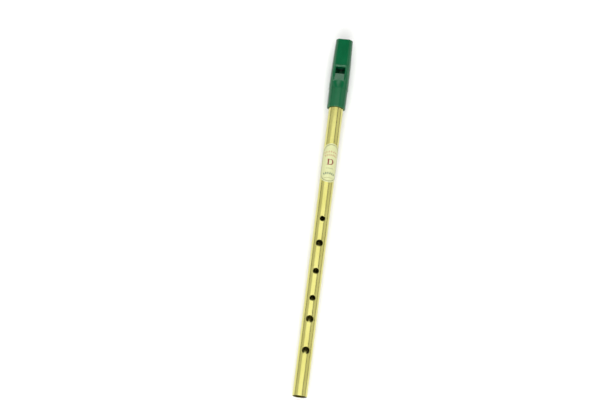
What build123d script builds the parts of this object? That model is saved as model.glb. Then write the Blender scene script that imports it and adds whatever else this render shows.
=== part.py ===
"""A tin whistle in D: a brass tube with six finger holes in a moulded mouthpiece.

Frame: the origin is the centre of the tube's foot end, +Y runs along the tube to the
mouthpiece's tip, +Z points out of the finger holes and +X is to the right of a reader
who looks at the holes with the mouthpiece up. All sizes are in millimetres.
"""

from build123d import *
import os
from math import cos, radians, sin, sqrt

# ---- driving dimensions ----
whistle_length = 308.0

tube_diameter = 12.4
tube_wall = 0.4
tube_top = 262.0
foot_edge_round = 0.12

# Finger holes from the foot up: distance of the centre from the foot, and diameter.
finger_holes = {
    "sixth": (37.4, 6.3),
    "fifth": (63.8, 6.2),
    "fourth": (81.5, 5.0),
    "third": (104.4, 5.1),
    "second": (128.3, 5.8),
    "first": (149.3, 4.6),
}

label_low = 180.9
label_high = 214.7
label_front_width = 12.3
label_corner = 3.5
label_thickness = 0.08
label_turn = 5.0

rim = 247.2
step = 263.7
rim_radius = 7.85
socket_radius = 8.0
body_radius = 8.25
body_middle_radius = 7.88
tip_radius = 7.2
head_turn = 8.0

sealant_clearance = 0.05
sealant_thickness = 0.08
sealant_low = 248.4
sealant_high = 261.6
shoulder_gap = 0.1
chamber_radius = 6.0
edge_round = 0.5
rim_round = 0.3

front_low_height = 6.8
front_low_at = 270.9
front_tip_height = 5.6

windway_width = 8.0
windway_height = 1.0
windway_floor = 4.2
window_high = 282.8
blade = 277.2
blade_height = 4.75
blade_underside = 4.6

frame_width = 0.95
frame_height = 0.3
frame_top_half = 5.1
frame_middle_half = 6.2
frame_low_half = 4.7
frame_low = 270.0
frame_low_middle = 271.5
frame_middle = 277.6
frame_high = 284.6

beak_wall = 1.2
beak_scoop_start = 283.0
beak_tip_underside = 0.6
beak_scoop_sag = 2.0

# ---- sizes worked out from them ----
tube_radius = tube_diameter / 2
bore_radius = tube_radius - tube_wall
sealant_inner = tube_radius + sealant_clearance
sealant_outer = sealant_inner + sealant_thickness
socket_bore = sealant_outer + sealant_clearance
front_slope = (front_low_height - front_tip_height) / (whistle_length - front_low_at)
windway_tip_floor = windway_floor - (whistle_length - window_high) * front_slope
far = 20.0

# ---- planes ----
# The holes' planes look square at the tube; the mouthpiece's are turned about the tube.
turn_cos = cos(radians(head_turn))
turn_sin = sin(radians(head_turn))
head_right = (turn_cos, 0, turn_sin)
head_front = (-turn_sin, 0, turn_cos)
head_across = Plane(origin=(0, 0, 0), x_dir=head_right, z_dir=(0, -1, 0))
head_side = Plane(origin=(0, 0, 0), x_dir=(0, 1, 0), z_dir=head_right)
head_top = Plane(origin=(0, 0, 0), x_dir=head_right, z_dir=head_front)


def at(distance):
    """The mouthpiece's cross-section plane at a distance from the foot."""
    return head_across.offset(-distance)


# ---- brass tube ----
with BuildPart() as whistle_tube:
    with BuildSketch(head_across):
        Circle(tube_radius)
        Circle(bore_radius, mode=Mode.SUBTRACT)
    extrude(amount=-tube_top)
    foot_edges = whistle_tube.edges().filter_by(GeomType.CIRCLE).group_by(Axis.Y)[0]
    fillet(foot_edges.sort_by(SortBy.RADIUS)[-1], foot_edge_round)
    for distance, diameter in finger_holes.values():
        with BuildSketch(Plane.XY):
            with Locations((0, distance)):
                Circle(diameter / 2)
        extrude(amount=far, mode=Mode.SUBTRACT)
whistle_tube.part.label = "whistle_tube"

# ---- paper label, wrapped round the front of the tube ----
label_angle = radians(label_turn)
label_front = Plane(
    origin=(0, (label_low + label_high) / 2, 0),
    x_dir=(cos(label_angle), 0, -sin(label_angle)),
    z_dir=(sin(label_angle), 0, cos(label_angle)),
)
with BuildPart() as tube_label:
    with BuildSketch(at(label_low)):
        Circle(tube_radius + label_thickness)
        Circle(tube_radius, mode=Mode.SUBTRACT)
    extrude(amount=label_low - label_high)
    with BuildSketch(label_front):
        RectangleRounded(label_front_width, label_high - label_low, label_corner)
    extrude(amount=far, mode=Mode.INTERSECT)
tube_label.part.label = "tube_label"

# ---- film of sealant between the tube and the mouthpiece's socket ----
with BuildPart() as sealant_film:
    with BuildSketch(at(sealant_low)):
        Circle(sealant_outer)
        Circle(sealant_inner, mode=Mode.SUBTRACT)
    extrude(amount=sealant_low - sealant_high)
sealant_film.part.label = "sealant_film"


# ---- mouthpiece: outlines ----
def turned_outline(grown):
    """Half the mouthpiece's turned outside, its radii enlarged by the given amount."""
    low = (step, body_radius + grown)
    middle = ((step + whistle_length) / 2, body_middle_radius + grown)
    high = (whistle_length, tip_radius + grown)
    with BuildSketch(head_side) as outline:
        with BuildLine():
            Polyline(high, (whistle_length, 0), (rim, 0), (rim, rim_radius + grown))
            Polyline((rim, rim_radius + grown), (step, socket_radius + grown), low)
            ThreePointArc(low, middle, high)
        make_face()
    return outline.sketch


def above_front(raised):
    """The space in front of the beak's flat, down to the step."""
    beyond = whistle_length + far
    beyond_height = front_tip_height - far * front_slope + raised
    with BuildSketch(head_side) as outline:
        with BuildLine():
            Polyline(
                (step, front_low_height + raised),
                (front_low_at, front_low_height + raised),
                (beyond, beyond_height),
                (beyond, far),
                (step, far),
                close=True,
            )
        make_face()
    return outline.sketch


def shoulder(grown):
    """The blend from the flat front behind the ramp to the full round at the step."""
    radius = body_radius + grown
    height = front_low_height + grown
    half = sqrt(radius**2 - height**2)
    with BuildPart() as blend:
        with BuildSketch(at(step)):
            with BuildLine():
                ThreePointArc((-half, height), (0, radius), (half, height))
                ThreePointArc((half, height), (0, -radius), (-half, height))
            make_face()
        with BuildSketch(at(front_low_at)):
            with BuildLine():
                Line((-half, height), (half, height))
                ThreePointArc((half, height), (0, -radius), (-half, height))
            make_face()
        loft(ruled=True)
    return blend.part


def beak_scoop(raised):
    """The space under the beak, behind its concave underside."""
    low = (beak_scoop_start, raised - body_radius)
    high = (whistle_length, raised + beak_tip_underside)
    middle = ((low[0] + high[0]) / 2, (low[1] + high[1]) / 2 + beak_scoop_sag)
    beyond = whistle_length + far
    with BuildSketch(head_side) as outline:
        with BuildLine():
            ThreePointArc(low, middle, high)
            Polyline(high, (beyond, high[1]), (beyond, -far), (low[0], -far), low)
        make_face()
    return outline.sketch


def frame_outline():
    """The outline of the raised frame round the window and the ramp."""
    top_right = (frame_top_half, frame_high)
    low_right = (frame_low_half, frame_low)
    top_left = (-frame_top_half, frame_high)
    low_left = (-frame_low_half, frame_low)
    with BuildSketch(head_top) as outline:
        with BuildLine():
            ThreePointArc(top_right, (frame_middle_half, frame_middle), low_right)
            ThreePointArc(low_right, (0, frame_low_middle), low_left)
            ThreePointArc(low_left, (-frame_middle_half, frame_middle), top_left)
            Line(top_left, top_right)
        make_face()
    return outline.sketch


def below_floor():
    """The space behind the plane of the windway's floor."""
    with BuildSketch(head_side) as outline:
        with BuildLine():
            Polyline(
                (window_high, windway_floor),
                (whistle_length, windway_tip_floor),
                (whistle_length, -far),
                (window_high, -far),
                close=True,
            )
        make_face()
    return outline.sketch


# ---- fipple block: the plug that closes the head and is the windway's floor ----
with BuildPart() as fipple_block:
    with BuildSketch(at(window_high)):
        Circle(chamber_radius)
    extrude(amount=window_high - whistle_length)
    extrude(below_floor(), amount=far, both=True, mode=Mode.INTERSECT)
    extrude(beak_scoop(beak_wall), amount=far, both=True, mode=Mode.SUBTRACT)
fipple_block.part.label = "fipple_block"

# ---- mouthpiece shell ----
with BuildPart() as window_frame:
    revolve(turned_outline(frame_height), axis=Axis.Y)
    extrude(above_front(frame_height), amount=far, both=True, mode=Mode.SUBTRACT)
    add(shoulder(frame_height))
    with BuildSketch(head_top):
        add(frame_outline())
        offset(amount=-frame_width, kind=Kind.INTERSECTION, mode=Mode.SUBTRACT)
    extrude(amount=far, mode=Mode.INTERSECT)

with BuildPart() as chamber:
    with BuildSketch(at(tube_top)):
        Circle(chamber_radius)
    extrude(amount=tube_top - window_high)
    with BuildSketch(head_side):
        with BuildLine():
            Polyline(
                (tube_top, chamber_radius),
                (blade, blade_underside),
                (window_high, blade_underside),
                (window_high, -far),
                (tube_top, -far),
                close=True,
            )
        make_face()
    extrude(amount=far, both=True, mode=Mode.INTERSECT)

with BuildPart() as mouthpiece_shell:
    revolve(turned_outline(0), axis=Axis.Y)
    extrude(above_front(0), amount=far, both=True, mode=Mode.SUBTRACT)
    extrude(beak_scoop(0), amount=far, both=True, mode=Mode.SUBTRACT)
    front_flat = mouthpiece_shell.faces().filter_by(GeomType.PLANE).sort_by(SortBy.AREA)[-1]
    flat_sides = front_flat.edges().sort_by(SortBy.LENGTH)[-2:]
    fillet(flat_sides, edge_round)
    tip_face = mouthpiece_shell.faces().sort_by(Axis.Y)[-1]
    fillet(tip_face.edges(), edge_round)
    add(shoulder(0))
    add(window_frame.part)
    add(chamber.part, mode=Mode.SUBTRACT)
    add(fipple_block.part, mode=Mode.SUBTRACT)
    with BuildSketch(at(rim)):
        Circle(socket_bore)
    extrude(amount=rim - tube_top - shoulder_gap, mode=Mode.SUBTRACT)
    # The windway, the window above the chamber, and the ramp that leaves the blade.
    with BuildSketch(head_side):
        with BuildLine():
            Polyline(
                (window_high, windway_floor),
                (whistle_length, windway_tip_floor),
                (whistle_length, windway_tip_floor + windway_height),
                (window_high, windway_floor + windway_height),
                (window_high, far),
                (front_low_at, front_low_height),
                (blade, blade_height),
                (blade, 0),
                (window_high, 0),
                close=True,
            )
        make_face()
    extrude(amount=windway_width / 2, both=True, mode=Mode.SUBTRACT)
    fillet(mouthpiece_shell.edges().group_by(Axis.Y)[0], rim_round)
mouthpiece_shell.part.label = "mouthpiece_shell"

os.makedirs("parts", exist_ok=True)
for piece in (whistle_tube, tube_label, sealant_film, fipple_block, mouthpiece_shell):
    export_step(piece.part, f"parts/{piece.part.label}.step")
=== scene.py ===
"""A tin whistle in D: the looks of its pieces round the fixed frame, in a plain studio.

The frame: the origin is the centre of the tube's foot, +Y runs up the tube to the tip of
the mouthpiece, +Z points out of the finger holes and +X is to the right. Sizes are named
in millimetres and turned to metres by MM.
"""

import logging
import math
from collections.abc import Sequence
from dataclasses import dataclass
from enum import Enum

import bmesh
import bpy
import numpy as np
from mathutils import Matrix, Vector


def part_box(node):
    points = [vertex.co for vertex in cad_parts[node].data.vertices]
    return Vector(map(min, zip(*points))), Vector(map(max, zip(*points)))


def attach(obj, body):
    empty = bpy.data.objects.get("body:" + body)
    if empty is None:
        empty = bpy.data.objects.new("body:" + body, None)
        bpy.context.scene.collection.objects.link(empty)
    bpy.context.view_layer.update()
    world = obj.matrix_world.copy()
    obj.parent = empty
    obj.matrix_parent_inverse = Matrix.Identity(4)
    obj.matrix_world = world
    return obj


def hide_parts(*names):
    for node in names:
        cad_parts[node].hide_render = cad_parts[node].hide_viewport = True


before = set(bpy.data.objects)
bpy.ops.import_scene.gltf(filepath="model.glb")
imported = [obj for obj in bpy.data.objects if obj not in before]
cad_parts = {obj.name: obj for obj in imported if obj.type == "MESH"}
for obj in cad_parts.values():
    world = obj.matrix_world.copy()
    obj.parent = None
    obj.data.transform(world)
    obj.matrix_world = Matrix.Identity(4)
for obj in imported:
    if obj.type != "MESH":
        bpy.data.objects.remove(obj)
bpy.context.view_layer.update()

MM = 0.001
WELD = 0.002 * MM
LOG = logging.getLogger("whistle")
# Noise seldom leaves these ranges, so a finish's whole range is spread over them.
NUMBER_SPAN = (0.3, 0.7)
TONE_SPAN = (0.32, 0.68)


# ---- helpers ----
def linear(code: str, alpha: float = 1.0) -> tuple[float, float, float, float]:
    """Turn an sRGB hex colour into linear values.

    Args:
        code: the colour as six hex digits, such as "C0A040".
        alpha: the fourth value.

    Returns:
        Red, green, blue and alpha, from 0 to 1.
    """
    shares = [int(code[k : k + 2], 16) / 255 for k in (0, 2, 4)]
    red, green, blue = (
        s / 12.92 if s <= 0.04045 else ((s + 0.055) / 1.055) ** 2.4 for s in shares
    )
    return red, green, blue, alpha


def add_node(
    tree: bpy.types.NodeTree,
    kind: str,
    settings: dict[str, object] | None = None,
    inputs: dict[str | int, object] | None = None,
) -> bpy.types.Node:
    """Add a node with its settings and its inputs.

    Args:
        tree: the tree that takes the node.
        kind: the node's type.
        settings: properties of the node by name.
        inputs: a value, or the socket to link from, for each input by name or place.

    Returns:
        The new node.
    """
    node = tree.nodes.new(kind)
    for name, value in (settings or {}).items():
        setattr(node, name, value)
    for key, value in (inputs or {}).items():
        if isinstance(value, bpy.types.NodeSocket):
            tree.links.new(value, node.inputs[key])
        else:
            node.inputs[key].default_value = value
    return node


def new_piece(
    name: str, points: np.ndarray | Sequence, faces: Sequence[Sequence[int]]
) -> bpy.types.Object:
    """Make a mesh object from points and faces.

    Args:
        name: the object's name.
        points: the vertices, in metres.
        faces: the vertex numbers of each face.

    Returns:
        The object, linked to the scene.
    """
    mesh = bpy.data.meshes.new(name)
    mesh.from_pydata([tuple(map(float, p)) for p in points], [], [list(map(int, f)) for f in faces])
    piece = bpy.data.objects.new(name, mesh)
    bpy.context.scene.collection.objects.link(piece)
    return piece


def finish_mesh(piece: bpy.types.Object, sharp_degrees: float = 32.0) -> None:
    """Weld a closed mesh, face it outwards and smooth all but its sharp edges.

    Args:
        piece: the mesh object.
        sharp_degrees: edges that turn more than this stay sharp.
    """
    work = bmesh.new()
    work.from_mesh(piece.data)
    bmesh.ops.remove_doubles(work, verts=work.verts, dist=WELD)
    bmesh.ops.dissolve_degenerate(work, edges=work.edges, dist=WELD / 2)
    bmesh.ops.recalc_face_normals(work, faces=work.faces)
    for face in work.faces:
        face.smooth = True
    limit = math.radians(sharp_degrees)
    for edge in work.edges:
        edge.smooth = edge.calc_face_angle(math.pi) < limit
    work.to_mesh(piece.data)
    work.free()


def bake(piece: bpy.types.Object) -> None:
    """Turn what a piece's modifiers make into its plain mesh and remove them.

    Args:
        piece: the object with the modifiers.
    """
    graph = bpy.context.evaluated_depsgraph_get()
    mesh = bpy.data.meshes.new_from_object(piece.evaluated_get(graph))
    piece.modifiers.clear()
    piece.data = mesh


def dress(piece: bpy.types.Object, finish: bpy.types.Material) -> None:
    """Give the whole of a piece one material."""
    piece.data.materials.clear()
    piece.data.materials.append(finish)


def run_tree(
    piece: bpy.types.Object, tree: bpy.types.NodeTree, values: dict[str, object]
) -> None:
    """Run a Geometry Nodes tree on a piece and keep the result as a plain mesh.

    Args:
        piece: the object that the tree works on.
        tree: the tree.
        values: the tree's inputs by name.
    """
    modifier = piece.modifiers.new(tree.name, "NODES")
    modifier.node_group = tree
    for item in tree.interface.items_tree:
        if item.item_type == "SOCKET" and item.in_out == "INPUT" and item.name in values:
            modifier[item.identifier] = values[item.name]
    bake(piece)


def subtract(piece: bpy.types.Object, cutter: bpy.types.Object) -> None:
    """Cut one solid out of another and delete the cutter.

    Args:
        piece: the solid that is cut.
        cutter: the solid that is taken away.
    """
    modifier = piece.modifiers.new("cut", "BOOLEAN")
    modifier.operation = "DIFFERENCE"
    modifier.solver = "EXACT"
    modifier.object = cutter
    bake(piece)
    bpy.data.objects.remove(cutter)


def ring_faces(rings: int, around: int) -> list[tuple[int, int, int, int]]:
    """Number the quads between closed rings of points that follow each other.

    Args:
        rings: how many rings there are.
        around: how many points each ring has.

    Returns:
        The vertex numbers of each quad.
    """
    return [
        (
            ring * around + k,
            ring * around + (k + 1) % around,
            (ring + 1) * around + (k + 1) % around,
            (ring + 1) * around + k,
        )
        for ring in range(rings - 1)
        for k in range(around)
    ]


def arc_through(
    first: tuple[float, float], middle: tuple[float, float], last: tuple[float, float]
) -> tuple[float, float, float]:
    """Find the circle through three points.

    Args:
        first: the arc's first point.
        middle: a point between its ends.
        last: its last point.

    Returns:
        The centre's two coordinates and the radius.
    """
    (ax, ay), (bx, by), (cx, cy) = first, middle, last
    double = 2 * (ax * (by - cy) + bx * (cy - ay) + cx * (ay - by))
    squares = [x * x + y * y for x, y in (first, middle, last)]
    across = (squares[0] * (by - cy) + squares[1] * (cy - ay) + squares[2] * (ay - by)) / double
    along = (squares[0] * (cx - bx) + squares[1] * (ax - cx) + squares[2] * (bx - ax)) / double
    return across, along, math.hypot(ax - across, ay - along)


# ---- finishes ----
@dataclass(frozen=True)
class Grain:
    """A pattern's size along X, Y and Z, in millimetres."""

    x: float
    y: float
    z: float

    def scale(self) -> tuple[float, float, float]:
        """Give the scale that makes one unit of noise as large as the grain."""
        return 1 / (self.x * MM), 1 / (self.y * MM), 1 / (self.z * MM)

    def noise(self, tree: bpy.types.NodeTree, detail: float = 3.0) -> bpy.types.NodeSocket:
        """Add noise of this grain to a material.

        Args:
            tree: the material's tree.
            detail: how many finer layers the noise has.

        Returns:
            The noise's value.
        """
        place = add_node(tree, "ShaderNodeTexCoord")
        sized = add_node(
            tree,
            "ShaderNodeMapping",
            inputs={"Vector": place.outputs["Object"], "Scale": self.scale()},
        )
        noise = add_node(
            tree,
            "ShaderNodeTexNoise",
            inputs={"Vector": sized.outputs["Vector"], "Scale": 1.0, "Detail": detail},
        )
        return noise.outputs["Fac"]


def new_material(
    name: str, constants: dict[str, float]
) -> tuple[bpy.types.Material, bpy.types.NodeTree, bpy.types.Node]:
    """Make a material with a Principled shader.

    Args:
        name: the material's name.
        constants: the shader's values that are the same all over the surface.

    Returns:
        The material, its tree and the shader.
    """
    material = bpy.data.materials.new(name)
    material.use_nodes = True
    shader = material.node_tree.nodes["Principled BSDF"]
    for socket, value in constants.items():
        shader.inputs[socket].default_value = value
    return material, material.node_tree, shader


def vary(
    tree: bpy.types.NodeTree,
    factor: bpy.types.NodeSocket,
    socket: bpy.types.NodeSocket,
    low: float,
    high: float,
) -> None:
    """Drive a shader's number by a pattern.

    Args:
        tree: the material's tree.
        factor: the pattern, from 0 to 1.
        socket: the shader's input.
        low: the number where the pattern is low.
        high: the number where it is high.
    """
    least, most = NUMBER_SPAN
    ranged = add_node(
        tree,
        "ShaderNodeMapRange",
        inputs={"Value": factor, "From Min": least, "From Max": most, "To Min": low, "To Max": high},
    )
    tree.links.new(ranged.outputs["Result"], socket)


def two_tone(
    tree: bpy.types.NodeTree,
    factor: bpy.types.NodeSocket,
    socket: bpy.types.NodeSocket,
    first: str,
    second: str,
) -> None:
    """Drive a shader's colour between two hex colours by a pattern.

    Args:
        tree: the material's tree.
        factor: the pattern, from 0 to 1.
        socket: the shader's input.
        first: the colour where the pattern is low.
        second: the colour where it is high.
    """
    ramp = add_node(tree, "ShaderNodeValToRGB", inputs={"Fac": factor})
    for stop, place, tone in zip(ramp.color_ramp.elements, TONE_SPAN, (first, second)):
        stop.position = place
        stop.color = linear(tone)
    tree.links.new(ramp.outputs["Color"], socket)


def raise_by(
    tree: bpy.types.NodeTree,
    factor: bpy.types.NodeSocket,
    shader: bpy.types.Node,
    height: float,
) -> None:
    """Give a shader a fine relief.

    Args:
        tree: the material's tree.
        factor: the pattern, from 0 to 1.
        shader: the shader whose normal is turned.
        height: the relief's height in millimetres.
    """
    relief = {"Height": factor, "Distance": height * MM, "Strength": 1.0}
    bump = add_node(tree, "ShaderNodeBump", inputs=relief)
    tree.links.new(bump.outputs["Normal"], shader.inputs["Normal"])


@dataclass(frozen=True)
class DrawnBrass:
    """Yellow brass tube, drawn through a die, polished and lacquered.

    The eye sees a soft broad gleam along the tube, faint lines lengthwise and a slightly
    greener, duller tone where the brass has aged under the lacquer.
    """

    clean: str = "CBC674"
    aged: str = "C2BC66"
    roughness: tuple[float, float] = (0.17, 0.24)
    # Drawing lines are some 0.05 mm apart, too fine to show, so they are drawn coarser.
    lines: Grain = Grain(0.35, 60.0, 0.35)
    line_height: float = 0.0012
    ageing: Grain = Grain(9.0, 26.0, 9.0)

    def material(self) -> bpy.types.Material:
        """Make the lacquered brass.

        Returns:
            The material.
        """
        material, tree, shader = new_material(
            "brass_drawn_lacquered",
            {"Metallic": 1.0, "Coat Weight": 0.6, "Coat IOR": 1.5, "Coat Roughness": 0.14},
        )
        two_tone(tree, self.ageing.noise(tree), shader.inputs["Base Color"], self.clean, self.aged)
        lines = self.lines.noise(tree, detail=2.0)
        vary(tree, lines, shader.inputs["Roughness"], *self.roughness)
        raise_by(tree, lines, shader, self.line_height)
        return material


@dataclass(frozen=True)
class MouldedPlastic:
    """Glossy ABS, injection-moulded in a polished mould.

    The eye sees a deep even green with soft broad lights, a barely uneven skin where the
    wall has shrunk, and faint flow marks in the colour.
    """

    name: str
    deep: str
    light: str
    roughness: tuple[float, float] = (0.16, 0.22)
    flow: Grain = Grain(4.0, 11.0, 4.0)
    skin: Grain = Grain(1.4, 1.4, 1.4)
    skin_height: float = 0.006

    def material(self) -> bpy.types.Material:
        """Make the moulded plastic.

        Returns:
            The material.
        """
        material, tree, shader = new_material(
            self.name, {"IOR": 1.47, "Specular IOR Level": 0.38, "Coat Weight": 0.0}
        )
        flow = self.flow.noise(tree)
        two_tone(tree, flow, shader.inputs["Base Color"], self.deep, self.light)
        skin = self.skin.noise(tree)
        vary(tree, skin, shader.inputs["Roughness"], *self.roughness)
        raise_by(tree, skin, shader, self.skin_height)
        return material


# The lacquer over the label's paper and its print.
CLEAR_LACQUER: dict[str, float] = {"IOR": 1.5, "Coat Weight": 0.6, "Coat Roughness": 0.2}


@dataclass(frozen=True)
class LacqueredPaper:
    """Cream label paper, printed and stuck on under a clear lacquer.

    The eye sees warm cream with a faint mottle of fibres and the gleam of the lacquer.
    """

    paper: str = "C8CB98"
    shade: str = "BDC088"
    # Paper fibres are about 0.03 mm wide; the mottle that they make together shows.
    fibres: Grain = Grain(0.5, 0.8, 0.5)
    fibre_height: float = 0.002
    roughness: tuple[float, float] = (0.45, 0.6)

    def material(self) -> bpy.types.Material:
        """Make the lacquered paper.

        Returns:
            The material.
        """
        material, tree, shader = new_material("label_paper_lacquered", CLEAR_LACQUER)
        fibres = self.fibres.noise(tree, detail=4.0)
        two_tone(tree, fibres, shader.inputs["Base Color"], self.paper, self.shade)
        vary(tree, fibres, shader.inputs["Roughness"], *self.roughness)
        raise_by(tree, fibres, shader, self.fibre_height)
        return material


class Ink(Enum):
    """The label's printing inks: a full tone and the tone where the ink is thin."""

    RED = ("701F16", "842F24")
    OLIVE = ("55521C", "6E6A33")
    GREEN = ("33513F", "4C6852")
    RUST = ("A0644A", "B27C5C")

    def material(self) -> bpy.types.Material:
        """Make the ink: offset printing, which lies a little unevenly on the paper.

        Returns:
            The material.
        """
        full, thin = self.value
        material, tree, shader = new_material(f"printing_ink_{self.name.lower()}", CLEAR_LACQUER)
        mottle = Grain(0.3, 0.3, 0.3).noise(tree)
        two_tone(tree, mottle, shader.inputs["Base Color"], full, thin)
        vary(tree, mottle, shader.inputs["Roughness"], 0.4, 0.55)
        return material


@dataclass(frozen=True)
class DriedGlue:
    """Factory glue, dried to a thin amber film with small voids."""

    thick: str = "B79A5A"
    thin: str = "D8C48C"
    voids: Grain = Grain(0.9, 1.6, 0.9)
    void_depth: float = 0.01
    roughness: tuple[float, float] = (0.4, 0.65)

    def material(self) -> bpy.types.Material:
        """Make the glue.

        Returns:
            The material.
        """
        material, tree, shader = new_material(
            "glue_dried_film", {"IOR": 1.48, "Subsurface Weight": 0.1}
        )
        voids = self.voids.noise(tree, detail=4.0)
        two_tone(tree, voids, shader.inputs["Base Color"], self.thick, self.thin)
        vary(tree, voids, shader.inputs["Roughness"], *self.roughness)
        raise_by(tree, voids, shader, self.void_depth)
        return material


@dataclass(frozen=True)
class PaintedFloor:
    """A matt white studio surface."""

    white: str = "F4F4F2"
    shade: str = "F0F0EE"
    clouds: Grain = Grain(120.0, 120.0, 120.0)

    def material(self) -> bpy.types.Material:
        """Make the floor's paint.

        Returns:
            The material.
        """
        material, tree, shader = new_material(
            "floor_matt_white", {"Roughness": 0.9, "Specular IOR Level": 0.1}
        )
        clouds = self.clouds.noise(tree)
        two_tone(tree, clouds, shader.inputs["Base Color"], self.white, self.shade)
        return material


# ---- the tree that rolls flat work round the tube ----
def tree_input(tree: bpy.types.NodeTree, name: str, kind: str = "NodeSocketFloat") -> None:
    """Add a named input to a tree."""
    tree.interface.new_socket(name, in_out="INPUT", socket_type=kind)


def rolling_tree() -> bpy.types.NodeTree:
    """Build the tree that repeats a flat motif on an arc and rolls it round the tube.

    The motif lies in X (round the tube), Y (along it) and Z (height above the surface).
    Copies stand on an arc of the flat sheet, turned with it; then the sheet is cut
    finely, bent round the axis, turned and moved to its place.

    Returns:
        The tree.
    """
    tree = bpy.data.node_groups.new("roll_round_tube", "GeometryNodeTree")
    tree_input(tree, "Motif", "NodeSocketGeometry")
    for name in ("Copies", "Cuts"):
        tree_input(tree, name, "NodeSocketInt")
    for name in ("Arc Radius", "Arc Spread", "Arc Top", "Tube Radius", "Turn", "Middle"):
        tree_input(tree, name)
    tree_input(tree, "Finish", "NodeSocketMaterial")
    tree.interface.new_socket("Rolled", in_out="OUTPUT", socket_type="NodeSocketGeometry")

    given = add_node(tree, "NodeGroupInput").outputs
    flat = add_node(tree, "GeometryNodeInputPosition")
    parts = add_node(tree, "ShaderNodeSeparateXYZ", inputs={0: flat.outputs[0]})
    values = {socket.name: socket for socket in [*given, *parts.outputs]}
    values["index"] = add_node(tree, "GeometryNodeInputIndex").outputs[0]
    steps = (
        # The angle of each copy: its share of the row, less a half, times the spread.
        ("gaps", "SUBTRACT", ("Copies", 1.0)),
        ("share", "DIVIDE", ("index", "gaps")),
        ("centred", "SUBTRACT", ("share", 0.5)),
        ("angle", "MULTIPLY", ("centred", "Arc Spread")),
        # The copy's place on the arc, and its lean.
        ("angle_sine", "SINE", ("angle",)),
        ("angle_cosine", "COSINE", ("angle",)),
        ("drop", "SUBTRACT", ("angle_cosine", 1.0)),
        ("across", "MULTIPLY", ("angle_sine", "Arc Radius")),
        ("along", "MULTIPLY_ADD", ("drop", "Arc Radius", "Arc Top")),
        ("leaning", "MULTIPLY", ("angle", -1.0)),
        # Rolling: a point's X becomes an angle, and its Z a distance beyond the radius.
        ("wound", "DIVIDE", ("X", "Tube Radius")),
        ("turned", "ADD", ("wound", "Turn")),
        ("reach", "ADD", ("Z", "Tube Radius")),
        ("turned_sine", "SINE", ("turned",)),
        ("turned_cosine", "COSINE", ("turned",)),
        ("rolled_x", "MULTIPLY", ("turned_sine", "reach")),
        ("rolled_z", "MULTIPLY", ("turned_cosine", "reach")),
        ("rolled_y", "ADD", ("Y", "Middle")),
    )
    for name, operation, operands in steps:
        inputs = {k: values[o] if isinstance(o, str) else o for k, o in enumerate(operands)}
        values[name] = add_node(tree, "ShaderNodeMath", {"operation": operation}, inputs).outputs[0]

    place = add_node(
        tree, "ShaderNodeCombineXYZ", inputs={"X": values["across"], "Y": values["along"]}
    )
    euler = add_node(tree, "ShaderNodeCombineXYZ", inputs={"Z": values["leaning"]})
    target = add_node(
        tree,
        "ShaderNodeCombineXYZ",
        inputs={"X": values["rolled_x"], "Y": values["rolled_y"], "Z": values["rolled_z"]},
    )
    lean = add_node(tree, "FunctionNodeEulerToRotation", inputs={0: euler.outputs[0]})
    points = add_node(
        tree,
        "GeometryNodePoints",
        inputs={"Count": given["Copies"], "Position": place.outputs[0]},
    )
    placed = {"Points": points.outputs[0], "Instance": given["Motif"], "Rotation": lean.outputs[0]}
    shape = add_node(tree, "GeometryNodeInstanceOnPoints", inputs=placed)
    for kind, inputs in (
        ("GeometryNodeRealizeInstances", {}),
        ("GeometryNodeSubdivideMesh", {"Level": given["Cuts"]}),
        ("GeometryNodeSetPosition", {"Position": target.outputs[0]}),
        ("GeometryNodeMergeByDistance", {"Distance": WELD}),
        ("GeometryNodeRealizeInstances", {}),
        ("GeometryNodeSetMaterial", {"Material": given["Finish"]}),
    ):
        shape = add_node(tree, kind, inputs={0: shape.outputs[0], **inputs})
    add_node(tree, "NodeGroupOutput", inputs={0: shape.outputs[0]})
    return tree


# ---- brass tube ----
@dataclass(frozen=True)
class FingerHole:
    """A finger hole: the distance of its centre from the foot and its diameter, in mm."""

    distance: float
    diameter: float


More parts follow.
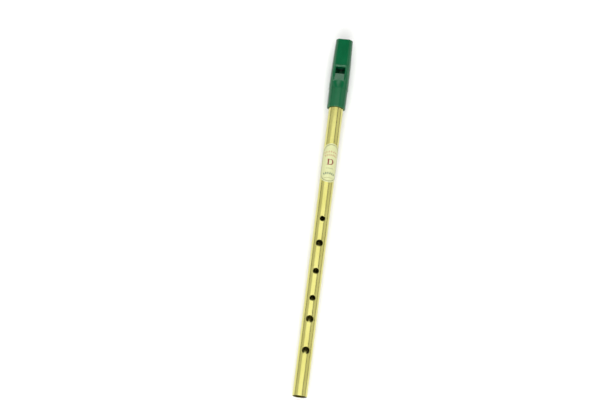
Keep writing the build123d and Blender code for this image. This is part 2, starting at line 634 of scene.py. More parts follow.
@dataclass
class WhistleTube:
    """The brass tube with its six finger holes."""

    tree: bpy.types.NodeTree
    holes: tuple[FingerHole, ...] = (
        FingerHole(37.4, 6.3),
        FingerHole(63.8, 6.2),
        FingerHole(81.5, 5.0),
        FingerHole(104.4, 5.1),
        FingerHole(128.3, 5.8),
        FingerHole(149.3, 4.6),
    )
    wall: float = 0.4
    foot_round: float = 0.12
    hole_ease: float = 0.12
    cells: int = 18
    longest_cell: float = 7.0
    rings_round_hole: int = 7
    ring_crowding: float = 1.5

    def __post_init__(self) -> None:
        """Take the tube's radius and length from the frame."""
        low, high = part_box("whistle_tube")
        self.radius = (high.x - low.x) / 2 / MM
        self.length = (high.y - low.y) / MM
        self.patch = self.radius * math.pi / 4

    def stations(self) -> list[float]:
        """List the distances from the foot at which the wall has a ring of points.

        Returns:
            The distances in millimetres, from the foot's rounded edge to the top.
        """
        found = [self.foot_round]
        for hole in self.holes:
            found += self.spaced(found[-1], hole.distance - self.patch)[1:]
            step = 2 * self.patch / self.cells
            found += [hole.distance - self.patch + step * k for k in range(1, self.cells + 1)]
        return found + self.spaced(found[-1], self.length)[1:]

    def spaced(self, low: float, high: float) -> list[float]:
        """Divide a stretch of the tube into equal cells that aren't too long."""
        count = math.ceil((high - low) / self.longest_cell)
        return [low + (high - low) * k / count for k in range(count + 1)]

    def is_open(self, low: float, high: float) -> bool:
        """Say whether the front of the wall between two stations belongs to a hole."""
        middle = (low + high) / 2
        return any(abs(middle - hole.distance) < self.patch for hole in self.holes)

    def quarter(self, steps: int = 3) -> list[tuple[float, float]]:
        """Give a rounded edge's inward and downward shares, from the face to the wall."""
        angles = [math.pi / 2 * k / steps for k in range(steps + 1)]
        return [(1 - math.sin(a), 1 - math.cos(a)) for a in angles]

    def hole_rings(self, hole: FingerHole) -> list[np.ndarray]:
        """Lay the rings of points from the outer wall through a hole to the inner wall.

        Args:
            hole: the finger hole.

        Returns:
            Rings of flat points: round the tube, along it, and above its surface.
        """
        side = np.arange(self.cells) / self.cells * 2 - 1
        one = np.ones(self.cells)
        square_x = np.concatenate([side, one, -side, -one])
        square_y = np.concatenate([-one, side, one, -side])
        angle = np.arctan2(square_y, square_x)
        radius = hole.diameter / 2

        def drilled(reach: float, surface: float, lift: float) -> np.ndarray:
            """Lay a round ring where a drill meets a round surface.

            Args:
                reach: the drill's radius.
                surface: the surface's radius.
                lift: how far the ring is moved outwards.

            Returns:
                The ring's flat points.
            """
            x = reach * np.cos(angle)
            z = np.sqrt(surface**2 - x**2) + lift
            flat_x = self.radius * np.arctan2(x, z)
            along = hole.distance + reach * np.sin(angle)
            return np.stack([flat_x, along, np.hypot(x, z) - self.radius], axis=1)

        def border(height: float) -> np.ndarray:
            """Lay the square ring that meets the rest of the wall."""
            along = hole.distance + square_y * self.patch
            return np.stack([square_x * self.patch, along, np.full_like(along, height)], axis=1)

        count = self.rings_round_hole
        shares = [(k / count) ** self.ring_crowding for k in range(1, count + 1)]
        inner = self.radius - self.wall
        ease = self.hole_ease
        outside = [drilled(radius + ease * i, self.radius, -ease * d) for i, d in self.quarter()]
        inside = [drilled(radius + ease * i, inner, ease * d) for i, d in self.quarter()]
        top = [outside[0] * (1 - s) + border(0.0) * s for s in shares]
        bottom = [inside[0] * (1 - s) + border(-self.wall) * s for s in shares]
        return top[::-1] + outside + inside[::-1] + bottom

    def build(self, finish: bpy.types.Material) -> bpy.types.Object:
        """Build the tube as a flat sheet with drilled holes, and roll it.

        Args:
            finish: the brass.

        Returns:
            The tube.
        """
        points: list[Sequence[float]] = []
        faces: list[Sequence[int]] = []

        def quad(*corners: tuple[float, float, float]) -> None:
            """Add a face with four points of its own, which the weld joins later."""
            faces.append(range(len(points), len(points) + 4))
            points.extend(corners)

        stations = self.stations()
        step = 2 * self.patch / self.cells
        columns = [-self.patch + step * k for k in range(4 * self.cells + 1)]
        edge = [(self.foot_round * i, -self.foot_round * d) for i, d in self.quarter()]
        foot = [*edge, (0.0, -self.wall)]
        head = [(self.length, 0.0), (self.length, -self.wall)]
        for number, (left, right) in enumerate(zip(columns, columns[1:])):
            for profile in (foot, head):
                for (low, up), (high, down) in zip(profile, profile[1:]):
                    quad((left, low, up), (right, low, up), (right, high, down), (left, high, down))
            for row, (low, high) in enumerate(zip(stations, stations[1:])):
                if number < self.cells and self.is_open(low, high):
                    continue
                quad((left, low, 0), (right, low, 0), (right, high, 0), (left, high, 0))
                low = 0.0 if row == 0 else low
                wall = -self.wall
                quad((left, low, wall), (right, low, wall), (right, high, wall), (left, high, wall))
        for hole in self.holes:
            rings = self.hole_rings(hole)
            start = len(points)
            around = len(rings[0])
            faces += [[start + v for v in face] for face in ring_faces(len(rings), around)]
            points.extend(np.concatenate(rings))
        tube = new_piece("brass_tube", np.array(points, float) * MM, faces)
        values = {"Copies": 1, "Cuts": 0, "Tube Radius": self.radius * MM, "Finish": finish}
        run_tree(tube, self.tree, values)
        finish_mesh(tube)
        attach(tube, "tube")
        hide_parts("whistle_tube")
        return tube


# ---- paper label ----
@dataclass(frozen=True)
class Row:
    """A row of copies on an arc: radius and top in mm, spread in degrees."""

    copies: int = 1
    radius: float = 0.0
    spread: float = 0.0
    top: float = 0.0


@dataclass
class PaperLabel:
    """The lacquered paper label with its print, wrapped round the front of the tube.

    The flat paper is measured across (round the tube) and up from its middle, in mm.
    """

    tree: bpy.types.NodeTree
    turn: float = 5.0
    width: float = 18.2
    corner: float = 9.0
    paper: float = 0.08
    ink: float = 0.02
    ink_sunk: float = 0.01
    border_inset: float = 0.9
    border_width: float = 0.45
    corner_cuts: int = 28
    cell: float = 0.4

    def __post_init__(self) -> None:
        """Take the label's place from the frame."""
        low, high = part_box("tube_label")
        tube_low, tube_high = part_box("whistle_tube")
        self.height = (high.y - low.y) / MM
        self.middle = (low.y + high.y) / 2 / MM
        self.radius = (tube_high.x - tube_low.x) / 2 / MM

    def roll(
        self,
        piece: bpy.types.Object,
        finish: bpy.types.Material,
        lift: float = 0.0,
        cuts: int = 0,
        row: Row = Row(),
    ) -> None:
        """Roll a flat piece round the tube and let it ride there.

        Args:
            piece: the flat piece.
            finish: its material.
            lift: the height of its zero above the brass, in millimetres.
            cuts: how often its cells are halved before it is rolled.
            row: the row of copies that it becomes.
        """
        values = {
            "Copies": row.copies,
            "Cuts": cuts,
            "Arc Radius": row.radius * MM,
            "Arc Spread": math.radians(row.spread),
            "Arc Top": row.top * MM,
            "Tube Radius": (self.radius + lift) * MM,
            "Turn": math.radians(self.turn),
            "Middle": self.middle * MM,
            "Finish": finish,
        }
        run_tree(piece, self.tree, values)
        finish_mesh(piece)
        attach(piece, "tube")

    def sheet(self, finish: bpy.types.Material) -> bpy.types.Object:
        """Cut the paper with its round corners and wrap it round the tube.

        Args:
            finish: the paper's material.

        Returns:
            The paper.
        """
        straight = self.width / 2 - self.corner
        cuts = self.corner_cuts
        turns = [math.pi / 2 * k / cuts for k in range(1, cuts + 1)]
        arc = [straight + self.corner * math.sin(turn) for turn in turns]
        count = math.ceil(2 * straight / self.cell)
        run = [-straight + 2 * straight * k / count for k in range(count + 1)]
        across = np.array([-x for x in reversed(arc)] + run + arc)
        over = np.maximum(np.abs(across) - straight, 0)
        drop = self.corner - np.sqrt(np.maximum(self.corner**2 - over**2, 0))
        half = self.height / 2 - drop
        columns = len(across)
        points = [
            np.column_stack([across, side * half, np.full(columns, z)])
            for z in (0.0, self.paper)
            for side in (-1, 1)
        ]
        faces = []
        for k in range(columns - 1):
            low, high, low_top, high_top = (row * columns + k for row in range(4))
            faces += [
                (low, low + 1, high + 1, high),
                (low_top, low_top + 1, high_top + 1, high_top),
                (low, low + 1, low_top + 1, low_top),
                (high, high + 1, high_top + 1, high_top),
            ]
        for k in (0, columns - 1):
            faces.append([row * columns + k for row in (0, 1, 3, 2)])
        paper = new_piece("paper_label", np.concatenate(points) * MM, faces)
        self.roll(paper, finish)
        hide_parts("tube_label")
        return paper

    def print_motif(
        self,
        name: str,
        outline: Sequence[tuple[float, float]],
        ink: bpy.types.Material,
        row: Row = Row(),
        inner: Sequence[tuple[float, float]] | None = None,
        closed: bool = True,
        cuts: int = 0,
    ) -> bpy.types.Object:
        """Print a flat shape, a band or a row of shapes on the label.

        Args:
            name: the piece's name.
            outline: the shape's outline, or a band's outer line.
            ink: the ink's material.
            row: the row in which its copies stand.
            inner: a band's inner line, with as many points as its outer line.
            closed: whether the band's ends meet.
            cuts: how often the shape's cells are halved before it is rolled.

        Returns:
            The print.
        """
        count = len(outline)
        flat = np.array(list(outline) + list(inner or []), float)
        total = len(flat)
        layers = [
            np.column_stack([flat, np.full(total, z)]) for z in (-self.ink_sunk, self.ink)
        ]
        steps = [(k, (k + 1) % count) for k in range(count if closed else count - 1)]
        faces: list[Sequence[int]] = [(a, b, total + b, total + a) for a, b in steps]
        if inner is None:
            faces += [range(count), range(total, total + count)]
        else:
            faces += [(count + a, count + b, total + count + b, total + count + a) for a, b in steps]
            for level in (0, total):
                faces += [
                    (level + a, level + b, level + count + b, level + count + a) for a, b in steps
                ]
            if not closed:
                faces += [(k, count + k, total + count + k, total + k) for k in (0, count - 1)]
        piece = new_piece(name, np.concatenate(layers) * MM, faces)
        self.roll(piece, ink, self.paper, cuts, row)
        return piece

    def border(self, inset: float) -> list[tuple[float, float]]:
        """Follow the paper's edge at a distance inside it.

        Args:
            inset: the distance, in millimetres of paper.

        Returns:
            Flat points round the label's middle.
        """
        corner = self.corner - inset
        right = self.width / 2 - self.corner
        up = self.height / 2 - self.corner
        corner_cells, half_end_cells = 12, 8
        points = []
        for quarter in range(4):
            side = 1 if quarter in (0, 3) else -1
            end = 1 if quarter in (0, 1) else -1
            for k in range(corner_cells + 1):
                angle = math.radians(90 * quarter + 90 / corner_cells * k)
                points.append(
                    (side * right + corner * math.cos(angle), end * up + corner * math.sin(angle))
                )
            if quarter in (0, 2):  # the short sides, which bend round the tube
                shares = [1 - k / half_end_cells for k in range(1, 2 * half_end_cells)]
                points += [(side * right * share, end * (up + corner)) for share in shares]
        return points

    def build(self, finish: bpy.types.Material) -> list[bpy.types.Object]:
        """Wrap the paper and print on it: a border, plain ornaments and the key.

        Args:
            finish: the paper's material.

        Returns:
            The paper and its prints.
        """
        red, olive = Ink.RED.material(), Ink.OLIVE.material()
        green, rust = Ink.GREEN.material(), Ink.RUST.material()
        outer, inner = self.border_inset, self.border_inset + self.border_width
        lozenge = [(0.0, 1.1), (0.46, 0.0), (0.0, -1.1), (-0.46, 0.0)]
        dash = [(-0.42, -0.16), (0.42, -0.16), (0.42, 0.16), (-0.42, 0.16)]
        leaf_half, leaf_width, leaf_cells = 1.2, 0.5, 6
        leaf = [
            (
                leaf_width * math.sin(math.pi * k / leaf_cells) * side,
                -leaf_half + 2 * leaf_half * k / leaf_cells,
            )
            for side, steps in ((1, range(leaf_cells + 1)), (-1, range(leaf_cells - 1, 0, -1)))
            for k in steps
        ]
        dot_radius = 0.28
        turns = [math.pi * k / 6 for k in range(12)]
        dot = [(dot_radius * math.cos(a), dot_radius * math.sin(a)) for a in turns]
        return [
            self.sheet(finish),
            self.print_motif("label_border", self.border(outer), olive, inner=self.border(inner)),
            self.print_motif("label_lozenges_upper", lozenge, rust, Row(7, 14.0, 50.0, 9.7), cuts=1),
            self.print_motif("label_lozenges_lower", lozenge, rust, Row(7, 14.0, 42.0, 6.8), cuts=1),
            *self.key_letter(red),
            self.print_motif("label_dashes", dash, green, Row(5, 40.0, 7.2, -4.8), cuts=1),
            self.print_motif("label_leaves", leaf, green, Row(6, 11.0, 46.0, -9.0), cuts=1),
            self.print_motif("label_dots", dot, olive, Row(7, 12.0, 34.0, -12.9)),
        ]

    def key_letter(self, ink: bpy.types.Material) -> list[bpy.types.Object]:
        """Print the key, a plain serif D, as a bowl, a stem and two serifs.

        Args:
            ink: the letter's ink.

        Returns:
            The letter's parts.
        """
        centre, half = 0.7, 2.55
        left, bend, right = -1.5, 0.2, 2.8
        thin, thick = 0.55, 1.2
        stem, serif, serif_height = (-2.3, -1.1), (-2.8, -0.6), 0.42
        turns = [math.pi * (k / 20 - 0.5) for k in range(21)]
        outer = [(bend + (right - bend) * math.cos(a), centre + half * math.sin(a)) for a in turns]
        inner = [
            (bend + (right - bend - thick) * math.cos(a), centre + (half - thin) * math.sin(a))
            for a in turns
        ]
        outer = [(left, centre - half), *outer, (left, centre + half)]
        inner = [(left, centre - half + thin), *inner, (left, centre + half - thin)]
        parts = [
            self.print_motif("label_letter_bowl", outer, ink, inner=inner, closed=False, cuts=2)
        ]
        bars = {
            "stem": (*stem, centre - half, centre + half),
            "foot": (*serif, centre - half, centre - half + serif_height),
            "top": (*serif, centre + half - serif_height, centre + half),
        }
        for name, (low_x, high_x, low_y, high_y) in bars.items():
            bar = [(low_x, low_y), (high_x, low_y), (high_x, high_y), (low_x, high_y)]
            parts.append(self.print_motif(f"label_letter_{name}", bar, ink, cuts=3))
        return parts


# ---- mouthpiece ----
@dataclass
class Mouthpiece:
    """The moulded head: beak, windway, window, ramp, blade and socket.

    A section is polar: angle 0 points to the front, and the ray starts at a centre that
    climbs towards the thin beak.
    """

    turn: float = 8.0
    rim_radius: float = 7.85
    socket_radius: float = 8.0
    body_radius: float = 8.25
    body_middle_radius: float = 7.88
    tip_radius: float = 7.2
    rim_round: float = 0.3
    step: float = 263.7
    step_round: float = 0.12
    front_low_at: float = 270.9
    front_low_height: float = 6.8
    front_tip_height: float = 5.6
    scoop_start: float = 283.0
    scoop_tip: float = 0.6
    scoop_sag: float = 2.0
    tip_round: float = 0.25
    front_edge: float = 0.15
    back_edge: float = 1.1
    frame_height: float = 0.42
    frame_width: float = 1.0
    frame_top: tuple[float, float] = (5.1, 284.6)
    frame_middle: tuple[float, float] = (6.2, 277.6)
    frame_low: tuple[float, float] = (4.7, 269.5)
    frame_low_middle: float = 271.0
    window_half: float = 4.0
    window_high: float = 282.8
    blade: float = 277.2
    blade_height: float = 4.75
    blade_underside: float = 4.6
    windway_floor: float = 4.2
    windway_height: float = 1.0
    window_ease: float = 0.22
    # The eased edges start this far above the flat's lower end.
    ease_start: float = 1.0
    socket_bore: float = 6.38
    lead_in: float = 0.35
    tube_top: float = 262.0
    shoulder_gap: float = 0.1
    chamber_radius: float = 6.0
    columns: int = 300
    # Columns stand closer together at the front, where the frame and the window are.
    crowding: float = 0.3
    # A ray runs past the flat, the scoop or the frame if less than this share of it is forward
    # (for the scoop, backward).
    flat_grazing: float = 0.05
    frame_grazing: float = 0.2
    # How far a cutter goes beyond what it cuts.
    beyond: float = 1.0

    def __post_init__(self) -> None:
        """Take the mouthpiece's length from the frame."""
        low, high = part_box("mouthpiece_shell")
        self.rim, self.tip = low.y / MM, high.y / MM
        drop = self.front_low_height - self.front_tip_height
        self.slope = drop / (self.tip - self.front_low_at)

    def front(self, y: np.ndarray | float) -> np.ndarray | float:
        """Give the height of the beak's flat at a distance from the foot."""
        return self.front_low_height - (y - self.front_low_at) * self.slope

    def on_circle(
        self, y: np.ndarray, first: tuple, middle: tuple, last: tuple, side: float
    ) -> np.ndarray:
        """Follow the arc through three points.

        Args:
            y: distances from the foot.
            first: the arc's first point, as distance and height.
            middle: its middle point.
            last: its last point.
            side: 1 where the arc is above its centre, and -1 where it is below.

        Returns:
            The arc's heights.
        """
        along, up, radius = arc_through(first, middle, last)
        return up + side * np.sqrt(np.maximum(radius**2 - (y - along) ** 2, 0))

    def round_radius(self, y: np.ndarray) -> np.ndarray:
        """Give the radius of the turned outside, with its step, along the mouthpiece.

        Args:
            y: distances from the foot.

        Returns:
            The radii in millimetres.
        """
        middle = ((self.step + self.tip) / 2, self.body_middle_radius)
        low, high = (self.step, self.body_radius), (self.tip, self.tip_radius)
        body = self.on_circle(y, low, middle, high, 1)
        share = np.clip((y - self.rim) / (self.step - self.rim), 0, 1)
        socket = self.rim_radius + (self.socket_radius - self.rim_radius) * share
        over = np.clip((y - self.step) / self.step_round + 0.5, 0, 1)
        return socket + (body - socket) * over * over * (3 - 2 * over)

    def scoop(self, y: np.ndarray) -> np.ndarray:
        """Give the height of the beak's concave underside.

        Args:
            y: distances from the foot.

        Returns:
            The heights, far below the mouthpiece where the scoop has not begun.
        """
        low, high = (self.scoop_start, -self.body_radius), (self.tip, self.scoop_tip)
        middle = ((low[0] + high[0]) / 2, (low[1] + high[1]) / 2 + self.scoop_sag)
        curve = self.on_circle(np.maximum(y, self.scoop_start), low, middle, high, 1)
        return np.where(y < self.scoop_start, -2 * self.body_radius, curve)

    def centre(self, y: np.ndarray) -> np.ndarray:
        """Give the height from which a section's rays start.

        Args:
            y: distances from the foot.

        Returns:
            The heights, which climb towards the middle of the thin tip.
        """
        share = np.clip((y - self.front_low_at) / (self.tip - self.front_low_at), 0, 1)
        top = (self.front_tip_height + self.scoop_tip) / 2
        return top * share * share * (3 - 2 * share)

    def soft_least(self, first: np.ndarray, second: np.ndarray, blend: float) -> np.ndarray:
        """Take the lesser of two lengths, rounded where they meet."""
        near = np.maximum(blend - np.abs(first - second), 0) / blend
        return np.minimum(first, second) - near * near * blend / 4

    def reach(self, angle: np.ndarray, y: np.ndarray) -> np.ndarray:
        """Give the length of each ray from its section's centre to the skin.

        Args:
            angle: the rays' angles from the front.
            y: their distances from the foot.

        Returns:
            The rays' lengths in millimetres.
        """
        far = 4 * self.body_radius
        centre, radius = self.centre(y), self.round_radius(y)
        sine, cosine = np.sin(angle), np.cos(angle)
        turned = -centre * cosine + np.sqrt(radius**2 - (centre * sine) ** 2)
        meets_flat, meets_scoop = cosine > self.flat_grazing, cosine < -self.flat_grazing
        ahead = np.where(meets_flat, cosine, 1)
        flat = np.where(meets_flat, (self.front(y) - centre) / ahead, far)
        cut = self.soft_least(turned, flat, self.front_edge)
        share = np.clip((y - self.step) / (self.front_low_at - self.step), 0, 1)
        shaped = turned + (cut - turned) * share
        behind = np.where(meets_scoop, cosine, -1)
        under = np.where(meets_scoop, (self.scoop(y) - centre) / behind, far)
        return self.soft_least(shaped, under, self.back_edge)

    def frame_rise(self, across: np.ndarray, y: np.ndarray) -> np.ndarray:
        """Give the height of the raised frame round the window and the ramp.

        Args:
            across: distances from the middle plane, in millimetres.
            y: distances from the foot.

        Returns:
            The height of the frame above the skin.
        """
        low_a, low_y = self.frame_low
        side_a, side_y, side_radius = arc_through(self.frame_top, self.frame_middle, self.frame_low)
        _, end_y, end_radius = arc_through(
            self.frame_low, (0.0, self.frame_low_middle), (-low_a, low_y)
        )
        inside = np.minimum.reduce([
            side_radius - np.hypot(across - side_a, y - side_y),
            side_radius - np.hypot(across + side_a, y - side_y),
            self.frame_top[1] - y,
            np.hypot(across, y - end_y) - end_radius,
        ])
        share = np.clip(inside / self.frame_width, 0, 1)
        return self.frame_height * (1 - np.abs(2 * share - 1) ** 3)

    def stations(self) -> np.ndarray:
        """List the distances from the foot of the skin's rings.

        Returns:
            The distances in millimetres, closest together at the step and the frame.
        """
        ends = (
            self.rim + self.rim_round,
            self.step - 2 * self.step_round,
            self.step + 2 * self.step_round,
            self.frame_low[1] - 0.6,
            self.frame_top[1] + 0.5,
            self.tip - self.tip_round,
        )
        cells = (1.2, 0.03, 0.3, 0.16, 0.28)  # socket, step, saddle, frame, beak
        found = []
        for low, high, cell in zip(ends, ends[1:], cells):
            count = math.ceil((high - low) / cell)
            found += [low + (high - low) * k / count for k in range(count)]
        return np.array([*found, ends[-1]])

    def placed(self, across: np.ndarray, y: np.ndarray, up: np.ndarray) -> np.ndarray:
        """Turn the mouthpiece's own coordinates into the frame's.

        Args:
            across: distances from the middle plane, in millimetres.
            y: distances from the foot.
            up: heights above the axis.

        Returns:
            The points in metres.
        """
        sine, cosine = math.sin(math.radians(self.turn)), math.cos(math.radians(self.turn))
        turned = (across * cosine - up * sine, y, across * sine + up * cosine)
        return np.stack(turned, axis=-1) * MM

    def skin(self) -> bpy.types.Object:
        """Build the closed outside of the mouthpiece.

        Returns:
            The solid, without its bore, windway and window.
        """
        even = np.linspace(-math.pi, math.pi, self.columns, endpoint=False)
        angle = even - self.crowding * np.sin(even)
        y = self.stations()
        angles, ys = np.meshgrid(angle, y)
        reach = self.reach(angles, ys)
        centre = self.centre(ys)
        rise = self.frame_rise(reach * np.sin(angles), ys)
        reach = reach + np.where(np.cos(angles) > self.frame_grazing, rise, 0)
        points = np.stack([reach * np.sin(angles), ys, centre + reach * np.cos(angles)], axis=-1)

        rings = [self.end_rings(points[0], self.rim, self.rim_round)[::-1]]
        rings += [points, self.end_rings(points[-1], self.tip, self.tip_round)]
        stack = np.concatenate(rings)
        count = len(stack) * self.columns
        faces = ring_faces(len(stack), self.columns)
        last = count - self.columns
        for k in range(self.columns):
            faces.append((k, (k + 1) % self.columns, count))
            faces.append((last + k, last + (k + 1) % self.columns, count + 1))
        ends = [stack[0].mean(axis=0), stack[-1].mean(axis=0)]
        flat = np.concatenate([stack.reshape(-1, 3), np.array(ends)])
        placed = self.placed(flat[:, 0], flat[:, 1], flat[:, 2])
        skin = new_piece("mouthpiece", placed, faces)
        finish_mesh(skin)
        return skin

    def end_rings(self, ring: np.ndarray, end: float, rounding: float) -> np.ndarray:
        """Round an end of the skin over and close it with smaller rings.

        Args:
            ring: the last ring before the rounded edge.
            end: the end's distance from the foot.
            rounding: the edge's radius.

        Returns:
            The rings from the edge inwards.
        """
        start = ring[0, 1]
        middle = ring.mean(axis=0)
        spokes = ring - middle
        length = np.hypot(spokes[:, 0], spokes[:, 2])[:, None]
        found = []
        cells = 5
        for k in range(1, cells + 1):
            quarter = math.pi / 2 * k / cells
            moved = middle + spokes * (1 - rounding * (1 - math.cos(quarter)) / length)
            moved[:, 1] = start + (end - start) * math.sin(quarter)
            found.append(moved)
        edge = found[-1]
        inner = middle * [1, 0, 1] + np.array([0, end, 0])
        for share in (0.75, 0.5, 0.25):
            found.append(inner + (edge - inner) * share)
        return np.array(found)

    def prism(
        self, name: str, outline: Sequence[tuple[float, float]], half: float
    ) -> bpy.types.Object:
        """Make a cutter from a side outline.

        Args:
            name: the cutter's name.
            outline: its points, as distance from the foot and height.
            half: half its width.

        Returns:
            The closed cutter.
        """
        count = len(outline)
        side = np.array(outline, float)
        y, up = np.tile(side[:, 0], 2), np.tile(side[:, 1], 2)
        across = np.repeat([-half, half], count)
        faces = ring_faces(2, count) + [range(count), range(count, 2 * count)]
        cutter = new_piece(name, self.placed(across, y, up), faces)
        finish_mesh(cutter)
        return cutter

    def turned(
        self, name: str, profile: Sequence[tuple[float, float]], around: int = 128
    ) -> bpy.types.Object:
        """Make a round cutter.

        Args:
            name: the cutter's name.
            profile: its distances from the foot and its radii there.
            around: how many points each ring has.

        Returns:
            The closed cutter.
        """
        angle = np.arange(around) / around * 2 * math.pi
        sine, cosine = np.sin(angle), np.cos(angle)
        stack = [self.placed(r * sine, np.full(around, y), r * cosine) for y, r in profile]
        total = around * len(stack)
        faces = ring_faces(len(stack), around) + [range(around), range(total - around, total)]
        cutter = new_piece(name, np.concatenate(stack), faces)
        finish_mesh(cutter)
        return cutter

    def chamber(self) -> bpy.types.Object:
        """Make the cutter for the space below the blade, flat under the ramp.

        Returns:
            The closed cutter.
        """
        start, radius, beyond = self.tube_top, self.chamber_radius, self.beyond
        cutter = self.turned("chamber", [(start - beyond, radius), (self.window_high, radius)])
        far = 3 * self.body_radius
        spare = 0.2
        roof = self.prism(
            "chamber_roof",
            [
                (start - 2 * beyond, radius + spare),
                (start, radius),
                (self.blade, self.blade_underside),
                (self.window_high + beyond, self.blade_underside),
                (self.window_high + beyond, far),
                (start - 2 * beyond, far),
            ],
            far,
        )
        subtract(cutter, roof)
        return cutter

    def voice(self) -> bpy.types.Object:
        """Make the cutter for the windway, the window and the ramp.

        Returns:
            The closed cutter.
        """
        end = self.tip + self.beyond
        tip_floor = self.windway_floor - (self.tip - self.window_high) * self.slope
        end_floor = tip_floor - self.beyond * self.slope
        far = 3 * self.body_radius
        rising = (self.front_low_height - self.blade_height) / (self.blade - self.front_low_at)
        inside_chamber = 1.0
        return self.prism(
            "voice",
            [
                (self.window_high, self.windway_floor),
                (end, end_floor),
                (end, end_floor + self.windway_height),
                (self.window_high, self.windway_floor + self.windway_height),
                (self.window_high, far),
                (self.blade - (far - self.blade_height) / rising, far),
                (self.blade, self.blade_height),
                (self.blade, inside_chamber),
                (self.window_high, inside_chamber),
            ],
            self.window_half,
        )

    def window_edges(self) -> bpy.types.Object:
        """Make the cutter that eases the window's edges and the cheeks of the ramp.

        Returns:
            The closed cutter.
        """
        ease = self.window_ease
        start = self.front_low_at + self.ease_start
        corners = []
        for grown, lift in ((0.0, -ease), (2 * ease, ease)):
            half, end = self.window_half + grown, self.window_high + grown
            for across, y in ((-half, start), (half, start), (half, end), (-half, end)):
                corners.append((across, y, self.front(y) + lift))
        faces = ring_faces(2, 4) + [range(4), range(4, 8)]
        cutter = new_piece("window_edges", self.placed(*np.array(corners).T), faces)
        finish_mesh(cutter)
        return cutter

    def block_pocket(self) -> bpy.types.Object:
        """Make the cutter for the plug's pocket from the plug itself.

        Returns:
            The closed cutter.
        """
        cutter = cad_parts["fipple_block"].copy()
        cutter.data = cutter.data.copy()
        cutter.parent = None
        bpy.context.scene.collection.objects.link(cutter)
        finish_mesh(cutter)
        return cutter

    def build(
        self, finish: bpy.types.Material, plug_finish: bpy.types.Material
    ) -> bpy.types.Object:
        """Build the shell and dress it and its plug.

        Args:
            finish: the shell's plastic.
            plug_finish: the plug's plastic.

        Returns:
            The shell.
        """
        shell = self.skin()
        bore, before = self.socket_bore, self.beyond / 2
        socket = self.turned(
            "socket",
            [
                (self.rim - before, bore + self.lead_in + before),
                (self.rim + self.lead_in, bore),
                (self.tube_top + self.shoulder_gap, bore),
            ],
        )
        voicing = (self.chamber(), self.block_pocket(), self.voice(), self.window_edges())
        for cutter in (socket, *voicing):
            subtract(shell, cutter)
        finish_mesh(shell)
        dress(shell, finish)
        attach(shell, "mouthpiece")
        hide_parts("mouthpiece_shell")
        dress(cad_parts["fipple_block"], plug_finish)
        return shell


# ---- studio ----
@dataclass(frozen=True)
class SoftLight:
    """A soft light: its place, what it faces, and its width and length, in mm.

    Its glow is how bright its face looks, where 1 shows as white.
    """

    name: str
    place: tuple[float, float, float]
    target: tuple[float, float, float]
    size: tuple[float, float]
    glow: float

    def hang(self) -> None:
        """Hang the light, with its length along the tube."""
        lamp = bpy.data.lights.new(self.name, "AREA")
        lamp.shape = "RECTANGLE"
        lamp.size, lamp.size_y = self.size[0] * MM, self.size[1] * MM
        lamp.energy = self.glow * math.pi * lamp.size * lamp.size_y
        body = bpy.data.objects.new(self.name, lamp)
        place = Vector(self.place)
        away = (place - Vector(self.target)).normalized()
        right = Vector((0, 1, 0)).cross(away).normalized()
        up = away.cross(right)
        turned = Matrix((right, up, away)).transposed().to_4x4()
        body.matrix_world = Matrix.Translation(place * MM) @ turned
        bpy.context.scene.collection.objects.link(body)


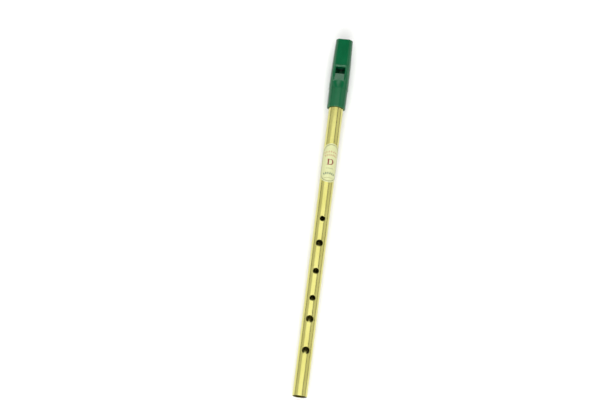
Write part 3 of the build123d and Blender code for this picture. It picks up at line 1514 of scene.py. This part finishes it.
@dataclass
class Studio:
    """A white floor, long soft lights and the camera."""

    floor_half: float = 1600.0
    floor_gap: float = 0.15
    tilt: float = 14.95
    turn: float = 2.28
    roll: float = 7.4
    distance: float = 1714.9
    aim: tuple[float, float] = (-20.27, 163.91)
    lens: float = 123.42
    sky: str = "5A5A5A"
    sky_strength: float = 1.0
    lights: tuple[SoftLight, ...] = (
        SoftLight("top_softbox", (-75, -15, 600), (-75, -15, 0), (730, 960), 1.5),
        SoftLight("right_panel", (900, 150, 560), (0, 150, 0), (900, 1500), 0.85),
        SoftLight("left_panel", (-900, 150, 560), (0, 150, 0), (900, 1500), 0.75),
        SoftLight("foot_panel", (0, -1500, 1100), (0, 150, 0), (2000, 1400), 4.6),
        SoftLight("head_panel", (0, 1900, 1100), (0, 150, 0), (1600, 1000), 3.2),
    )

    def floor(self, finish: bpy.types.Material) -> bpy.types.Object:
        """Lay the floor under the whistle, which rests on its foot and its step.

        Args:
            finish: the floor's paint.

        Returns:
            The floor.
        """
        tube_low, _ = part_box("whistle_tube")
        head_low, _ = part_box("mouthpiece_shell")
        foot = tube_low.z / MM
        slope = (head_low.z / MM - foot) / Mouthpiece.step
        half = self.floor_half
        points = [
            (x * MM, y * MM, (foot + slope * y - self.floor_gap) * MM)
            for x, y in ((-half, -half), (half, -half), (half, half), (-half, half))
        ]
        floor = new_piece("floor", points, [(0, 1, 2, 3)])
        dress(floor, finish)
        return floor

    def build(self, finish: bpy.types.Material) -> None:
        """Lay the floor, hang the lights and set up the camera.

        Args:
            finish: the floor's paint.
        """
        self.floor(finish)
        for light in self.lights:
            light.hang()
        world = bpy.data.worlds.new("studio")
        world.use_nodes = True
        background = world.node_tree.nodes["Background"]
        background.inputs["Color"].default_value = linear(self.sky)
        background.inputs["Strength"].default_value = self.sky_strength
        scene = bpy.context.scene
        scene.world = world
        scene.view_settings.view_transform = "Standard"
        data = bpy.data.cameras.new("camera")
        data.lens = self.lens
        data.clip_start, data.clip_end = 0.05, 20.0
        camera = bpy.data.objects.new("camera", data)
        turned = (
            Matrix.Rotation(math.radians(-self.turn), 4, "Y")
            @ Matrix.Rotation(math.radians(self.tilt), 4, "X")
            @ Matrix.Rotation(math.radians(self.roll), 4, "Z")
        )
        away = turned.to_3x3() @ Vector((0, 0, 1))
        place = Vector((*self.aim, 0)) + away * self.distance
        camera.matrix_world = Matrix.Translation(place * MM) @ turned
        scene.collection.objects.link(camera)
        scene.camera = camera


def main() -> None:
    """Build the whistle's pieces in order, and then the studio."""
    logging.basicConfig(level=logging.INFO, format="%(name)s: %(message)s")
    tree = rolling_tree()
    tube = WhistleTube(tree).build(DrawnBrass().material())
    LOG.info("%s: %d faces", tube.name, len(tube.data.polygons))
    for printed in PaperLabel(tree).build(LacqueredPaper().material()):
        LOG.info("%s: %d faces", printed.name, len(printed.data.polygons))
    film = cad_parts["sealant_film"]
    dress(film, DriedGlue().material())
    LOG.info("%s: dressed", film.name)
    shell = Mouthpiece().build(
        MouldedPlastic("abs_green_moulded", "00522E", "005832").material(),
        MouldedPlastic("abs_green_plug", "00472A", "004B2D").material(),
    )
    LOG.info("%s: %d faces", shell.name, len(shell.data.polygons))
    Studio().build(PaintedFloor().material())


if __name__ == "__main__":
    main()
